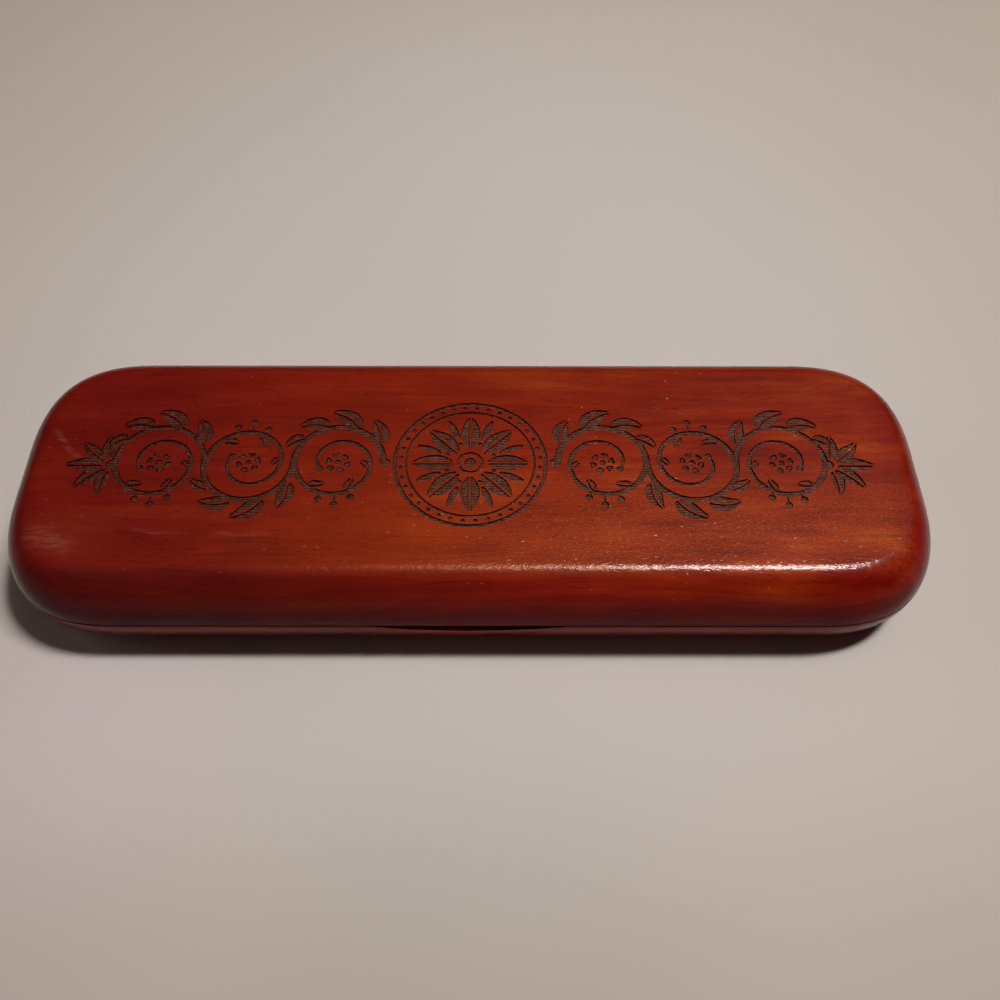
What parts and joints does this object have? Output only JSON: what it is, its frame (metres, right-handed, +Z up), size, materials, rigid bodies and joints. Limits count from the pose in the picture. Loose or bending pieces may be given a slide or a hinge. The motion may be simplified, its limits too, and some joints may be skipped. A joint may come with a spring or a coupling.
{
  "type": "hinged wooden pen box",
  "caption": "Slim wooden pen box with rounded edges, a hinged lid that opens flat, a thumb scoop in the front rim and a velvet-lined pen tray inside.",
  "frame": {"origin": "centre of the flat underside of the base, on the surface it rests on", "axes": "+X along the box's length, +Y from the thumb scoop towards the hinges, +Z up out of the lid"},
  "size_m": [0.1714, 0.0588, 0.0207],
  "materials": {
    "base_wood": "red-stained hardwood under clear gloss lacquer",
    "lid_wood": "red-stained hardwood under clear gloss lacquer, engraved ornament burnt dark brown",
    "tray_velvet": "short black flock",
    "lining_velvet": "short black velvet",
    "lining_board": "plain dark card",
    "hinge_brass": "polished, lightly tarnished",
    "pin_brass": "drawn wire",
    "screw_brass": "brass-plated steel",
    "magnet_nickel": "nickel plate"
  },
  "bodies": {
    "base": {"base_shell": "base_wood", "pen_tray": "tray_velvet", "hinge_left_base_leaf": "hinge_brass", "hinge_left_pin": "pin_brass", "hinge_left_base_screw_outer": "screw_brass", "hinge_left_base_screw_inner": "screw_brass", "base_magnet_left": "magnet_nickel", "hinge_right_base_leaf": "hinge_brass", "hinge_right_pin": "pin_brass", "hinge_right_base_screw_outer": "screw_brass", "hinge_right_base_screw_inner": "screw_brass", "base_magnet_right": "magnet_nickel"},
    "lid": {"lid_shell": "lid_wood", "lid_lining_board": "lining_board", "lid_lining_pad": "lining_velvet", "hinge_left_lid_leaf": "hinge_brass", "hinge_left_lid_screw_outer": "screw_brass", "hinge_left_lid_screw_inner": "screw_brass", "lid_magnet_left": "magnet_nickel", "hinge_right_lid_leaf": "hinge_brass", "hinge_right_lid_screw_outer": "screw_brass", "hinge_right_lid_screw_inner": "screw_brass", "lid_magnet_right": "magnet_nickel"}
  },
  "joints": [
    {"name": "lid_hinge", "type": "hinge", "parent": "base", "child": "lid", "pos_m": [0, 0.02882, 0.01038], "axis": [-1, 0, 0], "range_deg": [0, 180]}
  ]
}
